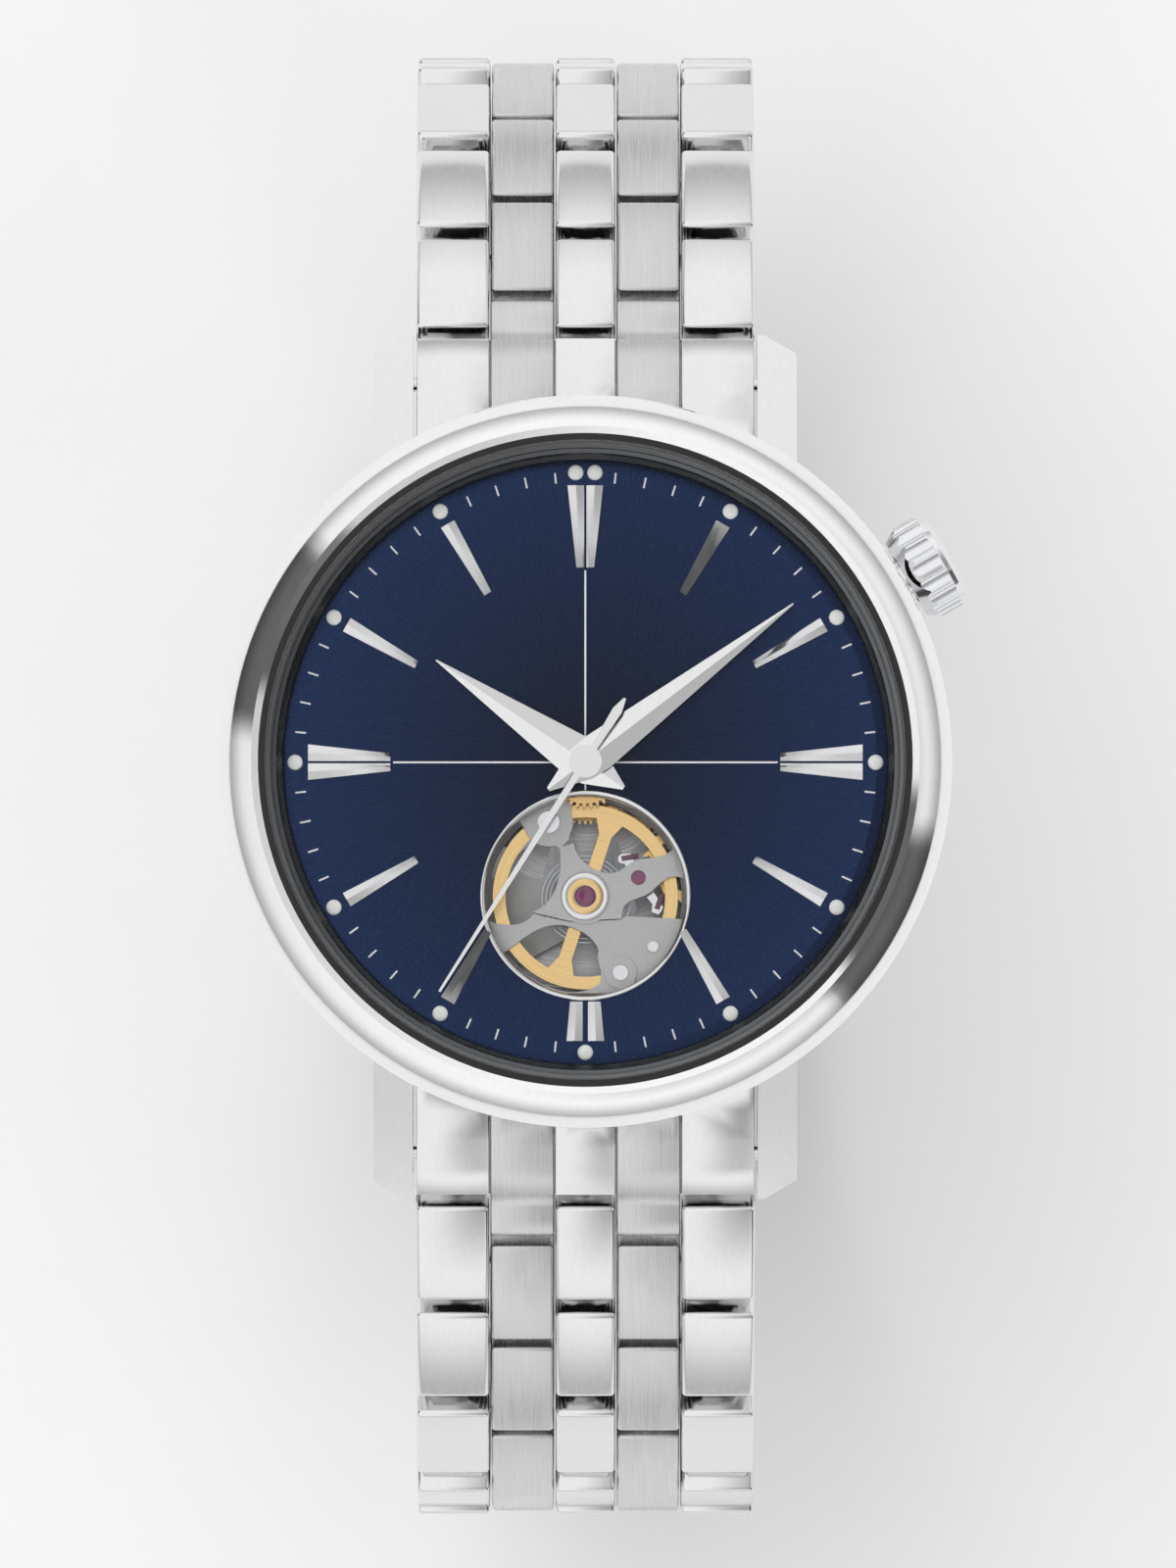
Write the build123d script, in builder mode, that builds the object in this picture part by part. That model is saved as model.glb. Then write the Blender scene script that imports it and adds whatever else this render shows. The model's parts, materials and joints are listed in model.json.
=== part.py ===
from build123d import *
import os
from math import asin, atan2, cos, degrees, hypot, pi, radians, sin

# Automatic wristwatch with an open-heart dial, a steel case and a five-column steel bracelet.
# Millimetres. The origin is the centre of the flat outer face of the case back.
# +Z leaves through the dial, +Y points to 12 o'clock and +X to 3 o'clock.
# The bracelet hangs below the case as a closed loop round the wrist opening.

# ---------------------------------------------------------------- driving dimensions
bezel_radius = 20.5
case_radius = 20.2
cavity_radius = 17.7
back_flange_radius = 17.5
back_flange_height = 0.8
back_thread_radius = 16.55
back_window_radius = 12.3
back_glass_radius = 13.0
case_top = 9.3
bezel_top = 11.62
crystal_radius = 17.9
crystal_bottom = 10.5
crystal_top = 11.9
gasket_radius = 18.25

dial_radius = 17.4
dial_bottom = 8.2
dial_top = 8.6
aperture_radius = 5.6
balance_y = -7.45

lug_inner_x = 9.65
lug_outer_x = 11.85
lug_reach = 24.25
lug_shoulder = 23.2
lug_tip_top = 4.0
lug_arch_top = 9.9
spring_bar_y = 21.6
spring_bar_z = 2.6

crown_angle = 30.0
crown_height = 6.5
crown_base = 20.75
crown_length = 2.65
crown_radius = 2.8
crown_flutes = 18

movement_radius = 13.0
plate_bottom = 5.5
plate_top = 7.5
bridge_bottom = 2.5
bridge_top = 3.2

# going train: teeth and centres
centre_teeth = 64
centre_pinion_teeth = 12
barrel_teeth = 72
third_teeth = 60
third_pinion_teeth = 8
fourth_teeth = 72
fourth_pinion_teeth = 8
escape_teeth = 15
escape_pinion_teeth = 6
cannon_teeth = 12
minute_wheel_teeth = 36
minute_pinion_teeth = 10
hour_teeth = 40
ratchet_teeth = 44
barrel_distance = 6.0
barrel_angle = 150.0
third_distance = 3.6
third_angle = -5.0
fourth_centre = (6.71, -2.105)
escape_centre = (5.63, -5.43)
pallet_centre = (2.97, -6.40)
motion_distance = 3.0
motion_angle = 60.0

# bracelet: five columns, pitch and the oval that its pivots follow
pitch = 6.25
row_gap = 0.4
pair_shift = 2.5
nose = (pair_shift - row_gap) / 2
link_top = 1.7
pair_drop = 0.18
fit_gap = 0.01
edge = 0.22
crowning = 0.07
centre_half = 1.68
pair_inner = 1.79
pair_outer = 5.29
outer_inner = 5.40
outer_outer = 9.5
pin_radius = 0.45
pin_bore = 0.52
pin_half = 9.35
first_pivot = (24.9, 2.4)
oval_half_width = 39.7
oval_upper = 21.0
oval_lower = 28.5
links_per_side = 9
end_link_slope = 18.0

# clasp, in its own polar frame about the centre of its curve
cover_inner = 0.5
blade_low = -1.45
blade_high = -0.55
blade_axis = -1.0
cover_hinge_offset = 3.4
short_hinge_offset = 8.0
rail_inner = 4.6
rail_outer = 6.6
strip_half = 4.4

os.makedirs("parts", exist_ok=True)


def write(builder, name):
    """Label a finished sub-part and write its STEP file."""
    builder.part.label = name
    export_step(builder.part, f"parts/{name}.step")


def polar(radius, angle):
    """Point at a radius and an angle in degrees from +X."""
    return (radius * cos(radians(angle)), radius * sin(radians(angle)))


def upright_plane(x, y):
    """Plane that holds a half profile (radius, height) to revolve about a vertical axis."""
    return Plane(origin=(x, y, 0), x_dir=(1, 0, 0), z_dir=(0, -1, 0))


def turned(profile, x=0.0, y=0.0, mode=Mode.ADD):
    """Revolve a (radius, height) outline about the vertical axis through (x, y)."""
    with BuildSketch(upright_plane(x, y)) as half:
        with BuildLine():
            Polyline(*profile, close=True)
        make_face()
    revolve(half.sketch, axis=Axis((x, y, 0), (0, 0, 1)), mode=mode)


def tube(x, y, outer, inner, low, high, mode=Mode.ADD):
    """Vertical tube, or a disc when inner is zero."""
    with BuildSketch(Plane.XY.offset(low)) as ring:
        with Locations((x, y)):
            Circle(outer)
            if inner > 0:
                Circle(inner, mode=Mode.SUBTRACT)
    extrude(ring.sketch, amount=high - low, mode=mode)


def gear_face(teeth, module, phase):
    """Gear outline with straight-flanked teeth, one of them centred at the angle phase."""
    step = 360 / teeth
    root = module * (teeth / 2 - 1.1)
    tip = module * (teeth / 2 + 0.9)
    points = []
    for tooth in range(teeth):
        for radius, share in ((root, -0.33), (tip, -0.12), (tip, 0.12), (root, 0.33)):
            points.append(polar(radius, phase + (tooth + share) * step))
    with BuildLine() as outline:
        Polyline(*points, close=True)
    make_face(outline.edges())


def gear(centre, teeth, module, phase, low, high):
    """Toothed disc on a vertical axis."""
    with BuildSketch(Plane.XY.offset(low).move(Location((centre[0], centre[1], 0)))) as toothed:
        gear_face(teeth, module, phase)
    extrude(toothed.sketch, amount=high - low)


def spokes(centre, inner, outer, count, arm, low, high):
    """Cut the windows between a wheel's spokes."""
    with BuildSketch(Plane.XY.offset(low).move(Location((centre[0], centre[1], 0)))) as windows:
        Circle(outer)
        Circle(inner, mode=Mode.SUBTRACT)
        for number in range(count // 2):
            Rectangle(2 * outer + 1, arm, rotation=number * 360 / count, mode=Mode.SUBTRACT)
    extrude(windows.sketch, amount=high - low, mode=Mode.SUBTRACT)


def meshing_phase(direction, teeth_a, phase_a, teeth_b):
    """Phase of gear b, which lies in this direction from gear a, that puts the two in mesh."""
    turn = (direction - phase_a) * teeth_a / 360
    return direction + 180 + (turn - 0.5) * 360 / teeth_b


def heading(start, end):
    """Angle in degrees of the line from one centre to another."""
    return degrees(atan2(end[1] - start[1], end[0] - start[0]))


def spiral_band(centre, inner, outer, turns, width, low, high):
    """Flat spiral spring of rectangular section."""
    steps = int(turns * 16)
    growth = (outer - inner) / steps
    near = [polar(inner + growth * i - width / 2, 22.5 * i) for i in range(steps + 1)]
    far = [polar(inner + growth * i + width / 2, 22.5 * i) for i in range(steps + 1)]
    with BuildSketch(Plane.XY.offset(low).move(Location((centre[0], centre[1], 0)))) as band_sketch:
        with BuildLine():
            Spline(*near)
            Spline(*far)
            Line(near[0], far[0])
            Line(near[-1], far[-1])
        make_face()
    extrude(band_sketch.sketch, amount=high - low)


# ---------------------------------------------------------------- case middle with lugs and crown tube
crown_axis = (cos(radians(crown_angle)), sin(radians(crown_angle)), 0)


def crown_plane(distance):
    """Plane square to the crown's axis, at this distance from the watch's centre."""
    x, y = polar(distance, crown_angle)
    return Plane(origin=(x, y, crown_height), x_dir=(0, 0, 1), z_dir=crown_axis)


def crown_disc(distance, length, outer, inner=0.0, mode=Mode.ADD):
    """Tube or disc on the crown's axis."""
    with BuildSketch(crown_plane(distance)) as ring:
        Circle(outer)
        if inner > 0:
            Circle(inner, mode=Mode.SUBTRACT)
    extrude(ring.sketch, amount=length, mode=mode)


with BuildPart() as case_middle:
    with BuildSketch(Plane.XY.offset(0.4)):
        with BuildLine():
            Polyline(
                (lug_inner_x, 14), (lug_inner_x, lug_reach), (lug_inner_x + 0.4, lug_reach),
                (lug_outer_x, lug_shoulder), (lug_outer_x, 14), close=True,
            )
        make_face()
        mirror(about=Plane.YZ)
        mirror(about=Plane.XZ)
    extrude(amount=8.8)
    with BuildSketch(Plane.YZ.offset(-15)):
        with BuildLine():
            ThreePointArc((-lug_reach, lug_tip_top), (0, lug_arch_top), (lug_reach, lug_tip_top))
            Polyline(
                (lug_reach, lug_tip_top), (lug_reach, 1.2), (lug_reach - 1.2, 0.4),
                (15, 0.9), (-15, 0.9), (-lug_reach + 1.2, 0.4), (-lug_reach, 1.2),
                (-lug_reach, lug_tip_top),
            )
        make_face()
    extrude(amount=30, mode=Mode.INTERSECT)
    turned([
        (12, back_flange_height), (case_radius - 1.6, back_flange_height), (case_radius, 2.6),
        (case_radius, case_top - 0.15), (case_radius - 0.15, case_top), (12, case_top),
    ])
    tube(0, 0, cavity_radius, 0, 2.6, case_top, mode=Mode.SUBTRACT)
    tube(0, 0, back_thread_radius + 0.03, 0, back_flange_height, 2.6, mode=Mode.SUBTRACT)
    tube(0, 0, 17.3, 16.8, back_flange_height, 1.3, mode=Mode.SUBTRACT)
    crown_disc(18.5, 3.3, 1.25)
    crown_disc(16.5, 6.0, 0.6, mode=Mode.SUBTRACT)
    with BuildSketch(Plane.YZ.offset(-lug_inner_x - 1.3)):
        with Locations((spring_bar_y, spring_bar_z), (-spring_bar_y, spring_bar_z)):
            Circle(0.45)
    extrude(amount=2 * lug_inner_x + 2.6, mode=Mode.SUBTRACT)
write(case_middle, "case_middle")

# ---------------------------------------------------------------- bezel, crystal, gaskets, inner ring
with BuildPart() as bezel:
    with BuildSketch(Plane.XZ):
        with BuildLine():
            Polyline(
                (gasket_radius, 11.42), (gasket_radius, case_top), (bezel_radius, case_top),
                (bezel_radius, 9.95), (bezel_radius - 0.08, 10.1),
            )
            ThreePointArc((bezel_radius - 0.08, 10.1), (19.62, 11.02), (18.66, bezel_top))
            Line((18.66, bezel_top), (gasket_radius, 11.42))
        make_face()
    revolve(axis=Axis.Z)
write(bezel, "bezel")

with BuildPart() as crystal:
    turned([
        (0, crystal_bottom), (crystal_radius, crystal_bottom), (crystal_radius, crystal_top - 0.25),
        (crystal_radius - 0.25, crystal_top), (0, crystal_top),
    ])
write(crystal, "crystal")

with BuildPart() as case_gaskets:
    tube(0, 0, gasket_radius, crystal_radius, crystal_bottom, 11.45)
    tube(0, 0, 17.28, 16.82, back_flange_height, 1.28)
write(case_gaskets, "case_gaskets")

with BuildPart() as rehaut_ring:
    turned([
        (16.95, 8.62), (17.66, 8.62), (17.66, 9.32), (18.22, 9.32), (18.22, 10.48), (17.85, 10.48),
        (17.78, 10.2), (17.55, 10.16), (17.5, 9.75), (17.28, 9.7), (17.2, 9.25), (16.95, 8.95),
    ])
write(rehaut_ring, "rehaut_ring")

# ---------------------------------------------------------------- dial and applied hour indices
with BuildPart() as dial:
    turned([
        (0.85, dial_bottom), (dial_radius, dial_bottom), (dial_radius, dial_top - 0.2),
        (16.9, dial_top - 0.1), (16.3, dial_top), (0.85, dial_top),
    ])
    tube(0, balance_y, aperture_radius, 0, dial_bottom, dial_top, mode=Mode.SUBTRACT)
    turned([
        (aperture_radius - 0.02, dial_bottom), (aperture_radius + 0.28, dial_bottom),
        (aperture_radius + 0.28, dial_top + 0.06), (aperture_radius + 0.2, dial_top + 0.12),
        (aperture_radius - 0.02, dial_top - 0.1),
    ], 0, balance_y)
write(dial, "dial")


def baton(clock_angle, side, inner, outer, inner_width, outer_width, gap):
    """Applied index with a roof-shaped top; side is -1, 0 or 1 across the radius."""
    angle = 90 - clock_angle
    sections = []
    for radius, width in ((inner, inner_width), (outer, outer_width)):
        middle = side * (gap + width) / 2
        x, y = polar(radius, angle)
        outward = (cos(radians(angle)), sin(radians(angle)), 0)
        across = (-sin(radians(angle)), cos(radians(angle)), 0)
        with BuildSketch(Plane(origin=(x, y, dial_top), x_dir=across, z_dir=outward)) as section:
            with BuildLine():
                Polyline(
                    (middle - width / 2, 0), (middle - width / 2, 0.2), (middle, 0.38),
                    (middle + width / 2, 0.2), (middle + width / 2, 0), close=True,
                )
            make_face()
        sections.append(section.sketch)
    loft(sections)


with BuildPart() as hour_indices:
    for hour in (1, 2, 4, 5, 7, 8, 10, 11):
        baton(30 * hour, 0, 10.9, 15.4, 0.44, 0.86, 0)
    for hour in (3, 9, 12):
        for side in (-1, 1):
            baton(30 * hour, side, 10.9, 15.5, 0.43, 0.93, 0.13)
    for side in (-1, 1):
        baton(180, side, 13.4, 15.6, 0.7, 0.9, 0.3)
write(hour_indices, "hour_indices")

# ---------------------------------------------------------------- case back
with BuildPart() as case_back:
    turned([
        (back_window_radius, 0), (back_flange_radius - 0.3, 0), (back_flange_radius, 0.3),
        (back_flange_radius, back_flange_height), (back_thread_radius, back_flange_height),
        (back_thread_radius, 2.5), (15.6, 2.5), (15.6, 1.2), (back_glass_radius, 1.2),
        (back_glass_radius, 0.35), (back_window_radius, 0.35),
    ])
    with BuildSketch(Plane.XY):
        with PolarLocations(back_flange_radius, 6):
            SlotOverall(2.6, 1.5)
    extrude(amount=0.5, mode=Mode.SUBTRACT)
write(case_back, "case_back")

with BuildPart() as case_back_glass:
    tube(0, 0, back_glass_radius, 0, 0.35, 1.15)
    tube(0, 0, back_window_radius - 0.05, 0, 0, 0.35)
write(case_back_glass, "case_back_glass")

# ---------------------------------------------------------------- train layout
barrel_centre = polar(barrel_distance, barrel_angle)
third_centre = polar(third_distance, third_angle)
minute_centre = polar(motion_distance, motion_angle)
axis_centre = (0.0, 0.0)
balance_centre = (0.0, balance_y)

barrel_module = 2 * barrel_distance / (barrel_teeth + centre_pinion_teeth)
centre_module = 2 * third_distance / (centre_teeth + third_pinion_teeth)
third_module = 2 * third_distance / (third_teeth + fourth_pinion_teeth)
fourth_reach = hypot(escape_centre[0] - fourth_centre[0], escape_centre[1] - fourth_centre[1])
fourth_module = 2 * fourth_reach / (fourth_teeth + escape_pinion_teeth)
cannon_module = 2 * motion_distance / (cannon_teeth + minute_wheel_teeth)
hour_module = 2 * motion_distance / (minute_pinion_teeth + hour_teeth)

third_pinion_phase = meshing_phase(third_angle, centre_teeth, 0, third_pinion_teeth)
seconds_phase = meshing_phase(third_angle + 180, third_teeth, 0, fourth_pinion_teeth)
to_fourth = heading(third_centre, fourth_centre)
fourth_pinion_phase = meshing_phase(to_fourth, third_teeth, 0, fourth_pinion_teeth)
to_escape = heading(fourth_centre, escape_centre)
escape_pinion_phase = meshing_phase(to_escape, fourth_teeth, 0, escape_pinion_teeth)
barrel_phase = meshing_phase(barrel_angle, centre_pinion_teeth, 0, barrel_teeth)
minute_wheel_phase = meshing_phase(motion_angle, cannon_teeth, 0, minute_wheel_teeth)
hour_phase = meshing_phase(motion_angle + 180, minute_pinion_teeth, 0, hour_teeth)

# ---------------------------------------------------------------- main plate and holder
with BuildPart() as main_plate:
    tube(0, 0, movement_radius, 0, plate_bottom, plate_top)
    tube(0, balance_y, 5.4, 0, plate_bottom, plate_top, mode=Mode.SUBTRACT)
    tube(0, balance_y, 6.2, 0, 7.0, plate_top, mode=Mode.SUBTRACT)
    tube(*escape_centre, 2.75, 0, plate_bottom, 6.3, mode=Mode.SUBTRACT)
    tube(0, 0, 0.9, 0, plate_bottom, plate_top, mode=Mode.SUBTRACT)
    for centre in (third_centre, fourth_centre, escape_centre):
        tube(*centre, 0.17, 0, plate_bottom, 6.9, mode=Mode.SUBTRACT)
    tube(*barrel_centre, 0.68, 0, plate_bottom, 6.2, mode=Mode.SUBTRACT)
    crown_disc(8.3, 6.0, 0.62, mode=Mode.SUBTRACT)
    crown_disc(8.8, 3.4, 0.94, mode=Mode.SUBTRACT)
    tube(*minute_centre, 0.2, 0, plate_top, 8.1)
write(main_plate, "main_plate")

with BuildPart() as movement_holder:
    tube(0, 0, 17.6, movement_radius + 0.03, 3.0, 8.15)
    crown_disc(12.0, 7.0, 0.9, mode=Mode.SUBTRACT)
write(movement_holder, "movement_holder")

# ---------------------------------------------------------------- heart bridge, seen through the dial
heart_plane = Plane(origin=(0, balance_y, 0))
boss = (-2.05, 4.15)
lower_boss = (1.97, -4.27)
pallet_local = (pallet_centre[0], pallet_centre[1] - balance_y)
with BuildPart() as heart_bridge:
    # arms from the balance jewel to the upper boss, the pallet jewel and the edge, with the pointed spur
    with BuildSketch(heart_plane.offset(7.0)):
        with BuildLine():
            Spline((-1.45, 2.75), (-1.42, 1.4), (-1.8, 0.15), (-2.95, -0.88))
            Line((-2.95, -0.88), (-0.9, -1.38))
            Line((-0.9, -1.38), (2.05, -1.25))
            Spline((2.05, -1.25), (2.35, -0.38), (3.5, 0.13), (4.4, 0.9), (5.9, 0.8))
            Line((5.9, 0.8), (5.2, 3.0))
            Spline((5.2, 3.0), (3.64, 2.14), (2.72, 1.97), (1.8, 1.38), (0.3, 1.63), (-0.63, 2.97))
            Line((-0.63, 2.97), (-1.45, 2.75))
        make_face()
        with Locations(boss):
            Circle(1.36)
        with BuildLine():
            Polyline((-0.9, 3.2), (-0.75, 5.2), (-1.6, 5.9), (-3.9, 4.6), (-3.3, 3.6), (-1.4, 2.7), close=True)
        make_face()
        Circle(1.55)
    extrude(amount=0.6)
    # lower plate that follows the opening's edge, with the window at the bottom
    with BuildSketch(heart_plane.offset(7.0)):
        Circle(6.1)
        with BuildLine():
            Spline((-7, -1.0), (-4.7, -1.55), (-3.6, -1.5), (-2.9, -1.0))
            Polyline((-2.9, -1.0), (-0.9, -1.42), (1.9, -1.3), (2.3, -1.1), (7, -1.35), (7, 7), (-7, 7), (-7, -1.0))
        make_face(mode=Mode.SUBTRACT)
        with BuildLine():
            Spline((-4.7, -3.3), (-3.64, -2.47), (-1.72, -1.6), (0.2, -2.25), (0.75, -3.0))
            Spline((0.75, -3.0), (0.72, -3.6), (0.84, -4.1), (0.8, -4.9))
            Spline((0.8, -4.9), (-0.9, -5.35), (-2.7, -4.75), (-4.7, -3.3))
        make_face(mode=Mode.SUBTRACT)
    extrude(amount=0.45)
    with BuildSketch(heart_plane.offset(7.45)):
        with Locations(lower_boss):
            Circle(0.92)
    extrude(amount=0.12)
    with BuildSketch(heart_plane.offset(7.0)):
        Circle(0.59)
        with Locations(pallet_local):
            Circle(0.42)
        with Locations(boss, lower_boss):
            Circle(0.3)
        with Locations((3.79, -2.81)):
            Circle(0.3)
    extrude(amount=0.7, mode=Mode.SUBTRACT)
    with BuildSketch(heart_plane.offset(7.5)):
        Circle(1.38)
        Circle(1.3, mode=Mode.SUBTRACT)
    extrude(amount=0.2, mode=Mode.SUBTRACT)
    tube(0, 0, 12.9, 0, 6.9, 7.8, mode=Mode.INTERSECT)
write(heart_bridge, "heart_bridge")

# ---------------------------------------------------------------- bridges on the back side
with BuildPart() as train_bridge:
    with BuildSketch(Plane.XY.offset(bridge_bottom)):
        Circle(12.9)
        with Locations(balance_centre):
            Circle(5.35, mode=Mode.SUBTRACT)
        with BuildLine():
            Polyline((-14, -14), (-14, -4.4), (-4.6, -4.4), (0, balance_y), (3.4, -11.2), (8.5, -11.2), (8.5, -14),
                     close=True)
        make_face(mode=Mode.SUBTRACT)
    extrude(amount=bridge_top - bridge_bottom)
    with BuildSketch(Plane.XY.offset(bridge_top)):
        Circle(12.9)
        Circle(11.9, mode=Mode.SUBTRACT)
        with Locations((-4, -13.4)):
            Rectangle(26, 18, mode=Mode.SUBTRACT)
    extrude(amount=plate_bottom - bridge_top)
    for centre in (third_centre, fourth_centre, escape_centre):
        tube(*centre, 0.45, 0, bridge_bottom, bridge_top, mode=Mode.SUBTRACT)
    tube(*barrel_centre, 0.66, 0, bridge_bottom, bridge_top, mode=Mode.SUBTRACT)
    for angle in (62, 100, 200, -15):
        tube(*polar(9.9, angle), 0.75, 0, bridge_bottom, bridge_bottom + 0.3, mode=Mode.SUBTRACT)
    tube(0, 0, 0.9, 0, 1.45, bridge_bottom)
    tube(0, 0, 1.5, 0, 2.05, bridge_bottom)
    tube(0, 0, 0.15, 0, 2.6, bridge_top, mode=Mode.SUBTRACT)
write(train_bridge, "train_bridge")

with BuildPart() as balance_cock:
    with BuildSketch(heart_plane.offset(3.4)):
        with BuildLine():
            Polyline(
                (0, 1.2), (-8.6, 1.2), (-9.8, -1.5), (-7.4, -5.2), (-3.2, -3.4), (0.9, -1.15), close=True,
            )
        make_face()
        Circle(1.5)
    extrude(amount=0.7)
    with BuildSketch(heart_plane.offset(4.1)):
        with BuildLine():
            Polyline((-6.3, 1.2), (-8.6, 1.2), (-9.8, -1.5), (-7.4, -5.2), (-6.0, -4.6), close=True)
        make_face()
    extrude(amount=plate_bottom - 4.1)
    tube(0, balance_y, 0.5, 0, 3.4, 4.1, mode=Mode.SUBTRACT)
    tube(-2.72, balance_y - 0.95, 0.22, 0, 4.1, 5.4)
    tube(-7.4, balance_y - 1.6, 0.75, 0, 3.4, 3.7, mode=Mode.SUBTRACT)
    tube(0, 0, 12.9, 0, 3.3, plate_bottom, mode=Mode.INTERSECT)
write(balance_cock, "balance_cock")

with BuildPart() as movement_screws:
    for x, y in (boss, lower_boss):
        tube(x, balance_y + y, 0.29, 0, 6.95, 7.6)
    tube(boss[0], balance_y + boss[1], 0.6, 0, 7.6, 7.82)
    tube(lower_boss[0], balance_y + lower_boss[1], 0.42, 0, 7.6, 7.7)
    tube(3.79, balance_y - 2.81, 0.3, 0, 7.0, 7.6)
    for angle in (62, 100, 200, -15):
        tube(*polar(9.9, angle), 0.7, 0, bridge_bottom - 0.05, bridge_bottom + 0.25)
    tube(-7.4, balance_y - 1.6, 0.7, 0, 3.35, 3.65)
    with BuildSketch(Plane.XY.offset(7.7)):
        with Locations((boss[0], balance_y + boss[1])):
            Rectangle(1.3, 0.16)
    extrude(amount=0.2, mode=Mode.SUBTRACT)
    with BuildSketch(Plane.XY.offset(bridge_bottom - 0.05)):
        for angle in (62, 100, 200, -15):
            with Locations(polar(9.9, angle)):
                Rectangle(1.5, 0.2, rotation=angle)
    extrude(amount=0.12, mode=Mode.SUBTRACT)
write(movement_screws, "movement_screws")

with BuildPart() as jewels:
    tube(0, balance_y, 0.59, 0, 7.05, 7.55)
    tube(*pallet_centre, 0.42, 0, 7.05, 7.55)
    tube(0, balance_y, 0.12, 0, 7.05, 7.35, mode=Mode.SUBTRACT)
    tube(*pallet_centre, 0.12, 0, 7.05, 7.35, mode=Mode.SUBTRACT)
    tube(0, balance_y, 0.5, 0.12, 3.5, 4.0)
    for centre in (third_centre, fourth_centre, escape_centre):
        tube(*centre, 0.45, 0.14, 2.6, 3.1)
write(jewels, "jewels")

# ---------------------------------------------------------------- wheels
with BuildPart() as centre_wheel:
    gear(axis_centre, centre_teeth, centre_module, 0, 4.95, 5.08)
    spokes(axis_centre, 1.1, 2.6, 4, 0.5, 4.95, 5.08)
    gear(axis_centre, centre_pinion_teeth, barrel_module, 0, 4.35, 4.8)
    tube(0, 0, 0.6, 0, 4.8, 7.58)
    gear(axis_centre, cannon_teeth, cannon_module, 0, 7.58, 7.8)
    tube(0, 0, 0.45, 0, 7.8, 9.66)
    tube(0, 0, 0.26, 0, 4.3, 9.7, mode=Mode.SUBTRACT)
write(centre_wheel, "centre_wheel")

with BuildPart() as hour_wheel:
    gear(axis_centre, hour_teeth, hour_module, hour_phase, 7.85, 8.0)
    tube(0, 0, 0.75, 0, 7.85, 9.22)
    tube(0, 0, 0.5, 0, 7.8, 9.3, mode=Mode.SUBTRACT)
write(hour_wheel, "hour_wheel")

with BuildPart() as minute_wheel:
    gear(minute_centre, minute_wheel_teeth, cannon_module, minute_wheel_phase, 7.62, 7.74)
    gear(minute_centre, minute_pinion_teeth, hour_module, 0, 7.74, 8.08)
    tube(*minute_centre, 0.25, 0, 7.6, 8.1, mode=Mode.SUBTRACT)
write(minute_wheel, "minute_wheel")

with BuildPart() as barrel:
    tube(*barrel_centre, 4.75, 0, 3.35, 4.4)
    gear(barrel_centre, barrel_teeth, barrel_module, barrel_phase, 4.4, 4.7)
    tube(*barrel_centre, 4.45, 0, 3.6, 4.5, mode=Mode.SUBTRACT)
    tube(*barrel_centre, 0.65, 0, 3.3, 4.8, mode=Mode.SUBTRACT)
    spiral_band(barrel_centre, 1.0, 4.3, 7, 0.14, 3.65, 4.45)
write(barrel, "barrel")

with BuildPart() as ratchet_wheel:
    gear(barrel_centre, ratchet_teeth, 0.145, 0, 2.1, 2.42)
    tube(*barrel_centre, 0.6, 0, 2.42, 4.9)
    tube(*barrel_centre, 0.9, 0, 1.98, 2.1)
    tube(*barrel_centre, 0.9, 0, 3.65, 4.45)
    with BuildSketch(Plane.XY.offset(1.98)):
        with Locations(barrel_centre):
            Rectangle(1.9, 0.25)
    extrude(amount=0.1, mode=Mode.SUBTRACT)
write(ratchet_wheel, "ratchet_wheel")


def arbor(centre, radius, low, high, pivot, pivot_low, pivot_high):
    """Wheel arbor with a thin pivot at each end."""
    tube(*centre, radius, 0, low, high)
    tube(*centre, pivot, 0, pivot_low, low)
    tube(*centre, pivot, 0, high, pivot_high)


with BuildPart() as third_wheel:
    gear(third_centre, third_teeth, third_module, 0, 3.75, 3.88)
    spokes(third_centre, 0.9, 2.6, 4, 0.5, 3.75, 3.88)
    gear(third_centre, third_pinion_teeth, centre_module, third_pinion_phase, 4.84, 5.16)
    arbor(third_centre, 0.16, 3.25, 5.4, 0.1, 2.65, 6.0)
write(third_wheel, "third_wheel")

with BuildPart() as fourth_wheel:
    gear(fourth_centre, fourth_teeth, fourth_module, 0, 5.22, 5.35)
    spokes(fourth_centre, 0.8, 2.6, 4, 0.45, 5.22, 5.35)
    gear(fourth_centre, fourth_pinion_teeth, third_module, fourth_pinion_phase, 3.6, 4.05)
    arbor(fourth_centre, 0.16, 3.25, 5.4, 0.1, 2.65, 6.0)
write(fourth_wheel, "fourth_wheel")

escape_tip = 2.45
with BuildPart() as escape_wheel:
    with BuildSketch(Plane.XY.offset(5.75).move(Location((escape_centre[0], escape_centre[1], 0)))):
        tooth_step = 360 / escape_teeth
        tooth_points = []
        for tooth in range(escape_teeth):
            start = tooth * tooth_step + 9
            for radius, share in ((1.95, 0.0), (2.32, 0.62), (escape_tip, 0.80), (2.36, 0.86), (2.05, 0.72)):
                tooth_points.append(polar(radius, start + share * tooth_step))
        with BuildLine():
            Polyline(*tooth_points, close=True)
        make_face()
    extrude(amount=0.13)
    spokes(escape_centre, 0.6, 1.65, 4, 0.35, 5.75, 5.88)
    gear(escape_centre, escape_pinion_teeth, fourth_module, escape_pinion_phase, 5.12, 5.45)
    arbor(escape_centre, 0.13, 3.25, 6.25, 0.1, 2.65, 6.8)
write(escape_wheel, "escape_wheel")

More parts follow.
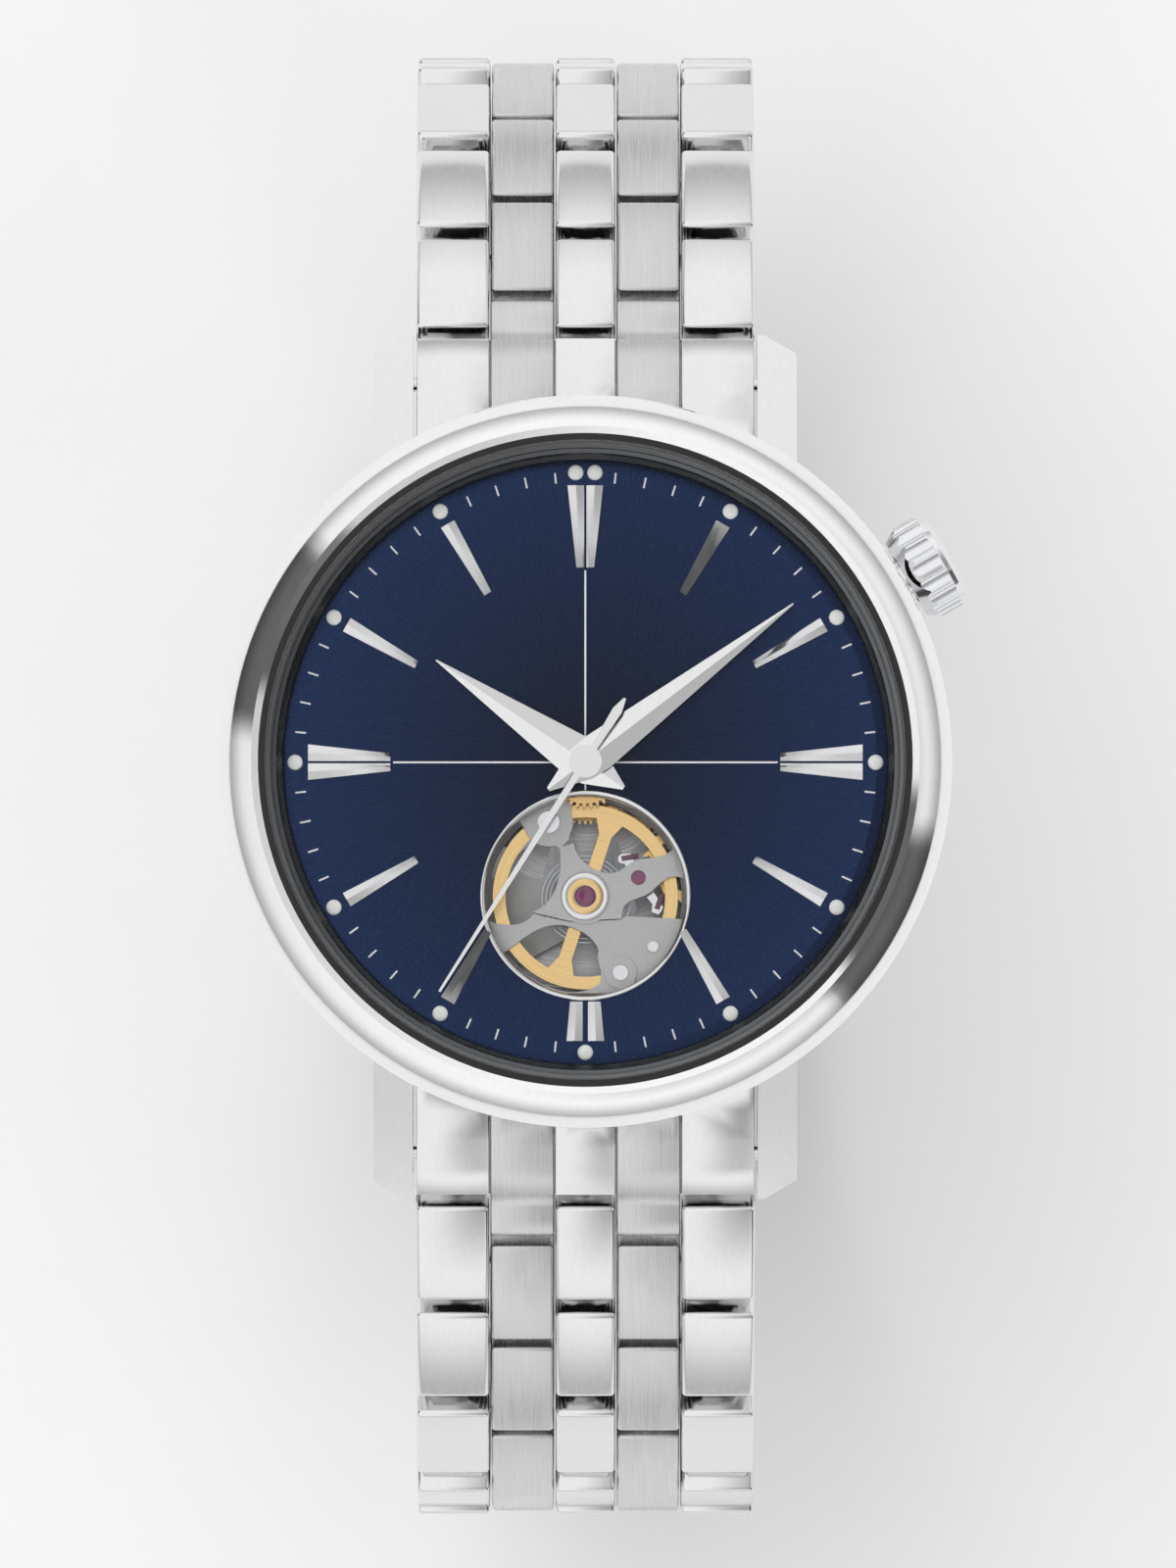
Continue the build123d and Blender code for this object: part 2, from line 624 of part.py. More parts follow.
pallet_length = 0.95
pallet_width = 0.28
pallets = ((2.5, 2.27, 11), (4.16, -0.2, 71))
with BuildPart() as pallet_fork:
    with BuildSketch(heart_plane.offset(5.7)):
        with Locations(pallet_local):
            Circle(0.42)
        with BuildLine():
            Polyline((2.7, 0.72), (2.88, 1.36), (1.32, 0.76), (1.0, 0.72), (1.02, 0.5), (1.3, 0.46),
                     (1.36, 0.24), (1.1, 0.12), (1.2, -0.08), (1.5, 0.02), close=True)
        make_face()
        with BuildLine():
            Polyline((3.25, 1.25), (2.6, 2.25), (2.55, 2.5), (2.0, 2.42), (1.82, 2.05), (2.2, 1.9), (2.75, 0.95),
                     close=True)
        make_face()
        with BuildLine():
            Polyline((2.75, 0.85), (3.75, -0.35), (3.72, -0.8), (4.1, -0.95), (4.35, -0.55), (4.1, -0.1),
                     (3.3, 1.1), close=True)
        make_face()
    extrude(amount=0.25)
    arbor(pallet_centre, 0.13, 4.6, 6.9, 0.08, 4.4, 7.3)
    # the two ruby pallets, set in the ends of the arms
    with BuildSketch(heart_plane.offset(5.7)):
        for x, y, angle in pallets:
            with Locations(Location((x, y), angle)):
                Rectangle(pallet_length + 2 * fit_gap, pallet_width + 2 * fit_gap)
    extrude(amount=0.25, mode=Mode.SUBTRACT)
    with BuildSketch(heart_plane.offset(5.72)):
        for x, y, angle in pallets:
            with Locations(Location((x, y), angle)):
                Rectangle(pallet_length, pallet_width)
    extrude(amount=0.36)
    with BuildSketch(heart_plane.offset(5.96)):
        with Locations((2.1, 2.18), (4.02, -0.63)):
            Circle(0.27)
    extrude(amount=0.12)
write(pallet_fork, "pallet_fork")

with BuildPart() as balance_wheel:
    tube(0, balance_y, 5.18, 4.47, 6.3, 6.85)
    with BuildSketch(heart_plane.offset(6.45).rotated((0, 0, 72))):
        Circle(1.0)
        with BuildLine():
            Polyline(
                (4.6, -0.85), (4.6, 0.85), (3.6, 0.36), (-3.6, 0.36), (-4.6, 0.85), (-4.6, -0.85),
                (-3.6, -0.36), (3.6, -0.36), close=True,
            )
        make_face()
    extrude(amount=0.25)
    tube(0, balance_y, 0.35, 0, 4.2, 6.9)
    tube(0, balance_y, 0.08, 0, 3.55, 4.2)
    tube(0, balance_y, 0.08, 0, 6.9, 7.3)
    tube(0, balance_y, 0.95, 0, 6.12, 6.26)
    tube(0.8, balance_y + 0.28, 0.09, 0, 5.99, 6.12)
write(balance_wheel, "balance_wheel")

with BuildPart() as hairspring:
    spiral_band(balance_centre, 0.48, 2.55, 9, 0.05, 5.2, 5.34)
write(hairspring, "hairspring")

with BuildPart() as rotor:
    with BuildSketch(Plane.XY.offset(1.55)):
        Circle(12.3)
        Circle(1.6, mode=Mode.SUBTRACT)
        with Locations((0, 7.2)):
            Rectangle(26, 14, mode=Mode.SUBTRACT)
        Circle(2.6)
        Circle(1.0, mode=Mode.SUBTRACT)
    extrude(amount=0.3)
    with BuildSketch(Plane.XY.offset(1.85)):
        Circle(12.3)
        Circle(10.4, mode=Mode.SUBTRACT)
        with Locations((0, 7.2)):
            Rectangle(26, 14, mode=Mode.SUBTRACT)
    extrude(amount=0.5)
    with BuildSketch(Plane.XY.offset(1.55)):
        with PolarLocations(6.4, 3, start_angle=225, angular_range=90):
            SlotOverall(5.0, 1.5)
    extrude(amount=0.3, mode=Mode.SUBTRACT)
write(rotor, "rotor")

# ---------------------------------------------------------------- hands


def hand_plane(clock_angle, height):
    """Plane at a height whose local x runs along the hand."""
    angle = radians(90 - clock_angle)
    return Plane(origin=(0, 0, height), x_dir=(cos(angle), sin(angle), 0), z_dir=(0, 0, 1))


def dauphine(clock_angle, height, reach, half_width, widest, rear, bore):
    """Faceted dauphine hand: a kite outline under a roof with its ridge along the hand."""
    plane = hand_plane(clock_angle, height)
    with BuildSketch(plane) as outline:
        with BuildLine():
            Polyline(
                (reach, 0.04), (widest, half_width), (rear, half_width * 0.93), (-2.6, 0.12), (-2.6, -0.12),
                (rear, -half_width * 0.93), (widest, -half_width), (reach, -0.04), close=True,
            )
        make_face()
        Circle(bore, mode=Mode.SUBTRACT)
    extrude(outline.sketch, amount=0.3)
    across = Plane(origin=plane.origin - plane.x_dir * 4, x_dir=plane.y_dir, z_dir=plane.x_dir)
    with BuildSketch(across) as roof:
        with BuildLine():
            Polyline((-1.4, 0), (1.4, 0), (1.4, 0.03), (0, 0.26), (-1.4, 0.03), close=True)
        make_face()
    extrude(roof.sketch, amount=reach + 5, mode=Mode.INTERSECT)


hour_angle = 304.3
minute_angle = 52.8
seconds_angle = 212.3
with BuildPart() as hour_hand:
    dauphine(hour_angle, 8.96, 10.1, 1.2, 0.7, -0.5, 0.75)
write(hour_hand, "hour_hand")

with BuildPart() as minute_hand:
    dauphine(minute_angle, 9.4, 14.6, 1.1, 0.9, -0.2, 0.45)
write(minute_hand, "minute_hand")

with BuildPart() as seconds_hand:
    with BuildSketch(hand_plane(seconds_angle, 9.86)):
        with BuildLine():
            Polyline(
                (15.25, 0.07), (0, 0.2), (-1.0, 0.18), (-3.35, 0.28), (-4.15, 0.07), (-4.15, -0.07),
                (-3.35, -0.28), (-1.0, -0.18), (0, -0.2), (15.25, -0.07), close=True,
            )
        make_face()
        Circle(0.92)
    extrude(amount=0.15)
    tube(0, 0, 0.38, 0, 10.01, 10.12)
    tube(0, 0, 0.2, 0, 10.0, 10.15, mode=Mode.SUBTRACT)
    tube(0, 0, 0.2, 0, 3.25, 9.86)
    tube(0, 0, 0.1, 0, 2.65, 3.25)
    gear(axis_centre, fourth_pinion_teeth, third_module, seconds_phase, 3.6, 4.05)
write(seconds_hand, "seconds_hand")

# ---------------------------------------------------------------- crown, stem and crown gasket
with BuildPart() as crown:
    with BuildSketch(Plane(origin=(0, 0, crown_height), x_dir=crown_axis,
                           z_dir=(-crown_axis[1], crown_axis[0], 0))):
        with BuildLine():
            Polyline(
                (crown_base, 1.5), (crown_base, 2.3), (crown_base + 0.75, crown_radius),
                (crown_base + 2.0, crown_radius), (crown_base + 2.15, 2.62), (crown_base + 2.15, 2.45),
                (crown_base + 2.4, 2.4), (crown_base + crown_length, 1.9), (crown_base + crown_length, 0),
                (crown_base + 1.9, 0), (crown_base + 1.9, 1.5), close=True,
            )
        make_face()
    revolve(axis=Axis((0, 0, crown_height), crown_axis))
    with BuildSketch(crown_plane(crown_base - 0.1)):
        with PolarLocations(crown_radius + 0.42, crown_flutes):
            Circle(0.62)
    extrude(amount=2.26, mode=Mode.SUBTRACT)
write(crown, "crown")

with BuildPart() as crown_gasket:
    crown_disc(crown_base + 0.5, 0.5, 1.49, 1.26)
write(crown_gasket, "crown_gasket")

with BuildPart() as stem:
    crown_disc(9.1, crown_base + 1.9 - 9.1, 0.45)
    crown_disc(9.3, 1.4, 0.9, 0.45)
    with BuildSketch(crown_plane(9.2)):
        with PolarLocations(0.98, 12):
            Circle(0.13)
    extrude(amount=1.6, mode=Mode.SUBTRACT)
write(stem, "stem")

# ---------------------------------------------------------------- bracelet oval and pivots
oval_start = asin((oval_half_width**2 - first_pivot[0] ** 2) ** 0.5 / oval_half_width)
oval_level = first_pivot[1] - oval_upper * sin(oval_start)


def oval_point(turn):
    """Point of the oval on the 12 o'clock side; turn is 0 at its widest and grows downwards."""
    height = oval_upper if turn < 0 else oval_lower
    return (oval_half_width * cos(turn), oval_level - height * sin(turn))


pivots = [first_pivot]
turn = -oval_start
for link in range(links_per_side):
    low_turn = turn
    high_turn = turn + 1.0
    while high_turn - low_turn > 1e-9:
        middle = (low_turn + high_turn) / 2
        point = oval_point(middle)
        if hypot(point[0] - pivots[-1][0], point[1] - pivots[-1][1]) < pitch:
            low_turn = middle
        else:
            high_turn = middle
    turn = low_turn
    pivots.append(oval_point(turn))

clasp_drop = pivots[-1][1] - (oval_level - oval_lower)
clasp_radius = (pivots[-1][0] ** 2 + clasp_drop**2) / (2 * clasp_drop)
clasp_centre_z = oval_level - oval_lower + clasp_radius
clasp_half_angle = degrees(asin(pivots[-1][0] / clasp_radius))


def link_plane(side, pivot, slope, x):
    """Plane of a bracelet piece: local x runs along the bracelet and local y points outwards.

    side is 1 on the 12 o'clock half and -1 on the other; slope is the fall in degrees.
    """
    along = (0, side * cos(radians(slope)), -sin(radians(slope)))
    return Plane(origin=(x, side * pivot[0], pivot[1]), x_dir=along, z_dir=(side, 0, 0))


def polished_outline(end):
    """Side outline of a polished piece, from its rounded nose at the pivot to a flat end."""
    with BuildLine() as outline:
        Polyline((0, -nose), (end - edge, -nose), (end, edge - nose), (end, link_top - edge), (end - edge, link_top))
        ThreePointArc((end - edge, link_top), ((end - nose) / 2, link_top + crowning), (edge - nose, link_top))
        Polyline((edge - nose, link_top), (-nose, link_top - edge), (-nose, 0))
        ThreePointArc((-nose, 0), (-nose * sin(pi / 4), -nose * sin(pi / 4)), (0, -nose))
    make_face(outline.edges())


def brushed_outline(start, pivot):
    """Side outline of a brushed piece, from a flat start to its rounded nose at the next pivot."""
    tip = pivot + nose
    top = link_top - pair_drop
    with BuildLine() as outline:
        Polyline((pivot, -nose), (start + edge, -nose), (start, edge - nose), (start, top - edge), (start + edge, top))
        ThreePointArc((start + edge, top), ((start + tip) / 2, top + crowning), (tip - edge, top))
        Polyline((tip - edge, top), (tip, top - edge), (tip, 0))
        ThreePointArc((tip, 0), (pivot + nose * sin(pi / 4), -nose * sin(pi / 4)), (pivot, -nose))
    make_face(outline.edges())


polished_end = pitch - row_gap - nose
brushed_start = pair_shift - nose
fixed_pin = (brushed_start + polished_end) / 2
outer_middle = (outer_inner + outer_outer) / 2
outer_half = (outer_outer - outer_inner) / 2
pair_middle = (pair_inner + pair_outer) / 2
pair_half = (pair_outer - pair_inner) / 2


def bracelet_link(side, pivot, slope):
    """One link: three polished pieces, two brushed pieces and the two pins that hold them."""
    with BuildPart() as link_part:
        for x, half in ((-outer_middle, outer_half), (0, centre_half), (outer_middle, outer_half)):
            with BuildSketch(link_plane(side, pivot, slope, x)):
                polished_outline(polished_end)
                with Locations((0, 0), (fixed_pin, 0)):
                    Circle(pin_radius + fit_gap, mode=Mode.SUBTRACT)
            extrude(amount=half, both=True)
        for x in (-pair_middle, pair_middle):
            with BuildSketch(link_plane(side, pivot, slope, x)):
                brushed_outline(brushed_start, pitch)
                with Locations((fixed_pin, 0)):
                    Circle(pin_radius + fit_gap, mode=Mode.SUBTRACT)
                with Locations((pitch, 0)):
                    Circle(pin_bore, mode=Mode.SUBTRACT)
            extrude(amount=pair_half, both=True)
        with BuildSketch(link_plane(side, pivot, slope, 0)):
            with Locations((0, 0), (fixed_pin, 0)):
                Circle(pin_radius)
        extrude(amount=pin_half, both=True)
    return link_part


def slope_between(start, end):
    """Fall in degrees of the bracelet from one pivot to the next."""
    return degrees(atan2(start[1] - end[1], end[0] - start[0]))


link_slopes = [slope_between(pivots[i], pivots[i + 1]) for i in range(links_per_side)]
for side, side_name in ((1, "12"), (-1, "6")):
    for number in range(links_per_side):
        link_part = bracelet_link(side, pivots[number], link_slopes[number])
        write(link_part, f"link_{side_name}_{number + 1}")

# ---------------------------------------------------------------- end links and spring bars
groove_x = ((centre_half + pair_inner) / 2, (pair_outer + outer_inner) / 2)


def end_link(side):
    """Solid end link: fills the gap between the lugs and carries the first pair of brushed noses."""
    with BuildPart() as part:
        end_face = link_plane(side, first_pivot, end_link_slope, 0)
        top = end_face.from_local_coords((-nose - row_gap, link_top, 0))
        low = end_face.from_local_coords((-nose - row_gap, -nose, 0))
        with BuildSketch(Plane.YZ):
            with BuildLine():
                ThreePointArc((side * 15, 8.0), (side * 20, 6.2), (top.Y, top.Z))
                Polyline((top.Y, top.Z), (low.Y, low.Z), (side * 21, 0.95), (side * 15, 0.95), (side * 15, 8.0))
            make_face()
        extrude(amount=9.45, both=True)
        for x in (-groove_x[1], -groove_x[0], groove_x[0], groove_x[1]):
            with BuildSketch(Plane.YZ.offset(x)):
                with BuildLine():
                    ThreePointArc((side * 15, 7.5), (side * 20, 5.7), (side * 25.2, 3.6))
                    Polyline((side * 25.2, 3.6), (side * 25.2, 9), (side * 15, 9), (side * 15, 7.5))
                make_face()
            extrude(amount=0.055, both=True, mode=Mode.SUBTRACT)
        for x in (-pair_middle, pair_middle):
            with BuildSketch(link_plane(side, first_pivot, end_link_slope, x)):
                brushed_outline(-3.6, 0)
            extrude(amount=pair_half, both=True)
            with BuildSketch(link_plane(side, first_pivot, end_link_slope, x)):
                Circle(pin_bore)
            extrude(amount=pair_half + 0.1, both=True, mode=Mode.SUBTRACT)
        with BuildSketch(Plane.YZ):
            with Locations((side * spring_bar_y, spring_bar_z)):
                Circle(0.8)
        extrude(amount=10, both=True, mode=Mode.SUBTRACT)
        tube(0, 0, case_radius + 0.12, 0, 0, case_top, mode=Mode.SUBTRACT)
    return part


write(end_link(1), "end_link_12")
write(end_link(-1), "end_link_6")

with BuildPart() as spring_bars:
    for y in (-spring_bar_y, spring_bar_y):
        with BuildSketch(Plane.YZ):
            with Locations((y, spring_bar_z)):
                Circle(0.78)
        extrude(amount=9.3, both=True)
        with BuildSketch(Plane.YZ):
            with Locations((y, spring_bar_z)):
                Circle(0.42)
        extrude(amount=10.8, both=True)
write(spring_bars, "spring_bars")

# ---------------------------------------------------------------- folding clasp
clasp_plane = Plane(origin=(0, 0, clasp_centre_z), x_dir=(0, 1, 0), z_dir=(1, 0, 0))
degree_per_mm = degrees(1 / clasp_radius)
cover_hinge = clasp_half_angle - cover_hinge_offset * degree_per_mm
short_hinge = -clasp_half_angle + short_hinge_offset * degree_per_mm


def clasp_point(level, angle):
    """Point in the clasp's plane: level is the height above the pivots' curve, outwards."""
    radius = clasp_radius + level
    return (radius * sin(radians(angle)), -radius * cos(radians(angle)))


def band_face(low, high, start, end):
    """Strip of the clasp's curve between two levels and two angles."""
    middle = (start + end) / 2
    with BuildLine() as outline:
        ThreePointArc(clasp_point(low, start), clasp_point(low, middle), clasp_point(low, end))
        ThreePointArc(clasp_point(high, start), clasp_point(high, middle), clasp_point(high, end))
        Line(clasp_point(low, start), clasp_point(high, start))
        Line(clasp_point(low, end), clasp_point(high, end))
    make_face(outline.edges())


def band(low, high, start, end, x_low, x_high, mode=Mode.ADD):
    """Curved strip between two sides of the bracelet."""
    with BuildSketch(clasp_plane.offset(x_low)) as strip:
        band_face(low, high, start, end)
    extrude(strip.sketch, amount=x_high - x_low, mode=mode)


def cross_bar(level, angle, radius, x_low, x_high, mode=Mode.ADD):
    """Bar or bore along X at a point of the clasp."""
    with BuildSketch(clasp_plane.offset(x_low)) as section:
        with Locations(clasp_point(level, angle)):
            Circle(radius)
    extrude(section.sketch, amount=x_high - x_low, mode=mode)


cover_start = -clasp_half_angle + (nose + row_gap) * degree_per_mm
cover_end = cover_hinge - 1.1 * degree_per_mm
wall_inner = 8.45
cover_slope = -clasp_half_angle
with BuildPart() as clasp_cover:
    band(cover_inner, link_top, cover_start, cover_end, -outer_outer, outer_outer)
    for low, high in ((-outer_outer, -wall_inner), (wall_inner, outer_outer)):
        band(-1.9, cover_inner, cover_start, cover_hinge, low, high)
        cross_bar(blade_axis, cover_hinge, 0.9, low, high)
        cross_bar(blade_axis, cover_hinge, 0.4 + fit_gap, low, high, mode=Mode.SUBTRACT)
    for x, half in ((-outer_middle, outer_half), (0, centre_half), (outer_middle, outer_half)):
        with BuildSketch(link_plane(-1, pivots[-1], 180 + cover_slope, x)):
            polished_outline(2.6)
        extrude(amount=half, both=True)
        with BuildSketch(link_plane(-1, pivots[-1], 180 + cover_slope, x)):
            Circle(pin_radius + fit_gap)
        extrude(amount=half, both=True, mode=Mode.SUBTRACT)
    for low, high in ((-outer_outer - 0.1, -wall_inner + 0.1), (wall_inner - 0.1, outer_outer + 0.1)):
        with BuildSketch(clasp_plane.offset(low)):
            with Locations(clasp_point(-0.75, 0)):
                Rectangle(5.3, 1.5)
        extrude(amount=high - low, mode=Mode.SUBTRACT)
    cross_bar(0, -clasp_half_angle, pin_radius, -pin_half, pin_half)
    for low, high in ((-9.3, -rail_inner - 0.1), (rail_inner + 0.1, 9.3)):
        cross_bar(blade_axis, cover_hinge, 0.4, low, high)
write(clasp_cover, "clasp_cover")

with BuildPart() as clasp_blade_long:
    for low, high in ((-rail_outer, -rail_inner), (rail_inner, rail_outer)):
        band(blade_low, blade_high, short_hinge - 4.6 * degree_per_mm, cover_hinge, low, high)
        cross_bar(blade_axis, cover_hinge, 0.8, low, high)
        cross_bar(blade_axis, cover_hinge, 0.46, low - 0.1, high + 0.1, mode=Mode.SUBTRACT)
        cross_bar(blade_axis, short_hinge, 0.4 + fit_gap, low - 0.1, high + 0.1, mode=Mode.SUBTRACT)
    band(blade_low, blade_high, short_hinge - 4.6 * degree_per_mm, short_hinge - 1.6 * degree_per_mm,
         -rail_outer, rail_outer)
    cross_bar(blade_axis, short_hinge, 0.4, -rail_outer, rail_outer)
write(clasp_blade_long, "clasp_blade_long")

tail_end = clasp_half_angle - (nose + row_gap) * degree_per_mm
with BuildPart() as clasp_blade_short:
    band(blade_low, blade_high, short_hinge, tail_end, -strip_half, strip_half)
    cross_bar(blade_axis, short_hinge, 0.75, -strip_half, strip_half)
    cross_bar(blade_axis, short_hinge, 0.46, -strip_half - 0.1, strip_half + 0.1, mode=Mode.SUBTRACT)
    band(blade_low, 0.35, tail_end - 0.6 * degree_per_mm, clasp_half_angle, -1.6, 1.6)
    cross_bar(0, clasp_half_angle, nose, -1.6, 1.6)
    cross_bar(0, clasp_half_angle, pin_radius + fit_gap, -1.7, 1.7, mode=Mode.SUBTRACT)
    cross_bar(0, clasp_half_angle, pin_radius, -1.6, 1.6)
write(clasp_blade_short, "clasp_blade_short")

for sign, side_name in ((-1, "left"), (1, "right")):
    with BuildPart() as clasp_button:
        with BuildSketch(clasp_plane.offset(sign * (wall_inner - 0.05))):
            with Locations(clasp_point(-0.75, 0)):
                RectangleRounded(5.0, 1.2, 0.3)
        extrude(amount=sign * 1.75)
        with BuildSketch(clasp_plane.offset(sign * (wall_inner - 0.05))):
            with Locations(clasp_point(-0.75, 0)):
                RectangleRounded(5.9, 1.9, 0.3)
        extrude(amount=-sign * 0.5)
    write(clasp_button, f"clasp_button_{side_name}")

print("pivots", [(round(y, 3), round(z, 3)) for y, z in pivots])
print("slopes", [round(slope, 3) for slope in link_slopes])
print("clasp radius and centre height", round(clasp_radius, 4), round(clasp_centre_z, 4))
print("clasp half angle, cover hinge, short hinge", round(clasp_half_angle, 4), round(cover_hinge, 4),
      round(short_hinge, 4))
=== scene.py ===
import bpy
import bmesh
import json
from math import atan2, cos, pi, radians, sin, tau
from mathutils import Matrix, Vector


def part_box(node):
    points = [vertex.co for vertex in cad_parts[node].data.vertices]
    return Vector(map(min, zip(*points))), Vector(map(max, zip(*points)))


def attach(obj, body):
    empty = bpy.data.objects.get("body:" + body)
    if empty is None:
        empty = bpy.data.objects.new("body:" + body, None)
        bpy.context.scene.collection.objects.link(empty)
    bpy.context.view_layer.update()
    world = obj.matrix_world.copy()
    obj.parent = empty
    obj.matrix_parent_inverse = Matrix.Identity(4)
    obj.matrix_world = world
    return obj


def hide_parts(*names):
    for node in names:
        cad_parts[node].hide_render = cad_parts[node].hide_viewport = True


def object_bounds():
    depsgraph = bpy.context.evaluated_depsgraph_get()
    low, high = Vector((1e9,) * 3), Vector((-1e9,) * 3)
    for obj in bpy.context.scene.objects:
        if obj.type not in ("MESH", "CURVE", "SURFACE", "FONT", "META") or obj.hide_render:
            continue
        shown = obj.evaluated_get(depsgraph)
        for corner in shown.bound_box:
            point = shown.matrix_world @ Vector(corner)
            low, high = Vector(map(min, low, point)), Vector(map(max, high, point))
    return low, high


# Looks for the wristwatch. Lengths in the helpers are millimetres and become metres in put().
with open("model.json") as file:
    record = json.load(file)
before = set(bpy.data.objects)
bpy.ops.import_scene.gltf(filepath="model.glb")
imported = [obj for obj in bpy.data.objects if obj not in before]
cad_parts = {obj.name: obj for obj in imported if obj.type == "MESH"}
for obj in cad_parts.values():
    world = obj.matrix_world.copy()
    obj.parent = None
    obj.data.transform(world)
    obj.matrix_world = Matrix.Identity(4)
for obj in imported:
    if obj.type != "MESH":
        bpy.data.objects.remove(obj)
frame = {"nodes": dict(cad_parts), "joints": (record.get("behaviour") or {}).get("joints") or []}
cad_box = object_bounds()
nodes = frame["nodes"]
joints = {joint["name"]: joint for joint in frame["joints"]}
MM = 0.001


# ---------------------------------------------------------------- materials
class Finish:
    """A Principled material and short calls that add nodes to it."""

    def __init__(self, name, metallic=1.0, ior=1.45):
        self.material = bpy.data.materials.new(name)
        self.material.use_nodes = True
        self.tree = self.material.node_tree
        self.shader = self.tree.nodes["Principled BSDF"]
        self.shader.inputs["Metallic"].default_value = metallic
        self.shader.inputs["IOR"].default_value = ior
        self.coordinates = self.add("ShaderNodeTexCoord").outputs["Object"]

    def add(self, kind, **settings):
        node = self.tree.nodes.new(kind)
        for key, value in settings.items():
            setattr(node, key, value)
        return node

    def link(self, source, target):
        self.tree.links.new(source, target)

    def noise(self, scale, detail=5.0, roughness=0.6, source=None):
        """Noise stretched by a scale per axis, in cycles per metre."""
        mapping = self.add("ShaderNodeMapping")
        mapping.inputs["Scale"].default_value = scale
        self.link(source or self.coordinates, mapping.inputs["Vector"])
        texture = self.add("ShaderNodeTexNoise")
        texture.inputs["Scale"].default_value = 1.0
        texture.inputs["Detail"].default_value = detail
        texture.inputs["Roughness"].default_value = roughness
        self.link(mapping.outputs["Vector"], texture.inputs["Vector"])
        return texture.outputs["Fac"]

    def polar(self, x, y):
        """Vector of (radius, angle, height) about a vertical axis, for turned and sunburst grain."""
        shift = self.add("ShaderNodeVectorMath", operation="SUBTRACT")
        shift.inputs[1].default_value = (x * MM, y * MM, 0)
        self.link(self.coordinates, shift.inputs[0])
        parts = self.add("ShaderNodeSeparateXYZ")
        self.link(shift.outputs[0], parts.inputs[0])
        flat = self.add("ShaderNodeCombineXYZ")
        self.link(parts.outputs[0], flat.inputs[0])
        self.link(parts.outputs[1], flat.inputs[1])
        radius = self.add("ShaderNodeVectorMath", operation="LENGTH")
        self.link(flat.outputs[0], radius.inputs[0])
        angle = self.add("ShaderNodeMath", operation="ARCTAN2")
        self.link(parts.outputs[1], angle.inputs[0])
        self.link(parts.outputs[0], angle.inputs[1])
        joined = self.add("ShaderNodeCombineXYZ")
        self.link(radius.outputs["Value"], joined.inputs[0])
        self.link(angle.outputs[0], joined.inputs[1])
        self.link(parts.outputs[2], joined.inputs[2])
        return joined.outputs[0]

    def spread(self, value, low, high, start=0.3, end=0.7):
        """Value moved from start..end to low..high."""
        node = self.add("ShaderNodeMapRange")
        node.inputs["From Min"].default_value = start
        node.inputs["From Max"].default_value = end
        node.inputs["To Min"].default_value = low
        node.inputs["To Max"].default_value = high
        self.link(value, node.inputs["Value"])
        return node.outputs["Result"]

    def colour(self, value, dark, light, start=0.3, end=0.7):
        ramp = self.add("ShaderNodeValToRGB")
        ramp.color_ramp.elements[0].position = start
        ramp.color_ramp.elements[0].color = (*dark, 1)
        ramp.color_ramp.elements[1].position = end
        ramp.color_ramp.elements[1].color = (*light, 1)
        self.link(value, ramp.inputs["Fac"])
        self.link(ramp.outputs["Color"], self.shader.inputs["Base Color"])

    def rough(self, value, low, high):
        self.link(self.spread(value, low, high), self.shader.inputs["Roughness"])

    def bump(self, value, strength, depth):
        node = self.add("ShaderNodeBump")
        node.inputs["Strength"].default_value = strength
        node.inputs["Distance"].default_value = depth * MM
        self.link(value, node.inputs["Height"])
        self.link(node.outputs["Normal"], self.shader.inputs["Normal"])

    def mix(self, first, second, share):
        """first * (1 - share) + second * share."""
        node = self.add("ShaderNodeMix", data_type="FLOAT")
        node.inputs[0].default_value = share
        self.link(first, node.inputs[2])
        self.link(second, node.inputs[3])
        return node.outputs[0]


def shade(colour, share):
    return tuple(channel * share for channel in colour)


def polished(name, colour, low=0.05, high=0.13):
    """Polished metal with faint wiping marks."""
    finish = Finish(name)
    marks = finish.noise((5200, 1400, 3000), 4)
    finish.colour(marks, shade(colour, 0.96), colour)
    finish.rough(marks, low, high)
    finish.bump(finish.noise((14000, 14000, 14000), 2), 0.03, 0.003)
    return finish.material


def brushed(name, colour, low=0.2, high=0.38):
    """Metal with straight grain along the bracelet: lines keep to their X."""
    finish = Finish(name)
    lines = finish.noise((26000, 260, 260), 4, 0.7)
    finish.colour(lines, shade(colour, 0.74), colour, 0.25, 0.72)
    finish.rough(lines, low, high)
    finish.bump(lines, 0.4, 0.02)
    finish.shader.inputs["Anisotropic"].default_value = 0.4
    return finish.material


def blasted(name, colour, scale=9000, low=0.34, high=0.5):
    """Sandblasted and plated metal."""
    finish = Finish(name)
    grit = finish.noise((scale, scale, scale), 6, 0.75)
    finish.colour(grit, shade(colour, 0.68), colour)
    finish.rough(grit, low, high)
    finish.bump(grit, 0.7, 0.03)
    return finish.material


def turned_metal(name, colour, x, y, low=0.16, high=0.3, pitch=16000):
    """Metal with circular grain about a vertical axis."""
    finish = Finish(name)
    rings = finish.noise((pitch, 1.2, 300), 4, 0.65, finish.polar(x, y))
    finish.colour(rings, shade(colour, 0.78), colour)
    finish.rough(rings, low, high)
    finish.bump(rings, 0.22, 0.012)
    return finish.material


def plain(name, dark, light, scale, low, high, metallic=0.0, bump=0.1, coat=0.0):
    """Painted, printed, moulded or rubber surface."""
    finish = Finish(name, metallic)
    mottle = finish.noise((scale, scale, scale), 5)
    finish.colour(mottle, dark, light)
    finish.rough(mottle, low, high)
    finish.bump(mottle, bump, 0.01)
    finish.shader.inputs["Coat Weight"].default_value = coat
    return finish.material


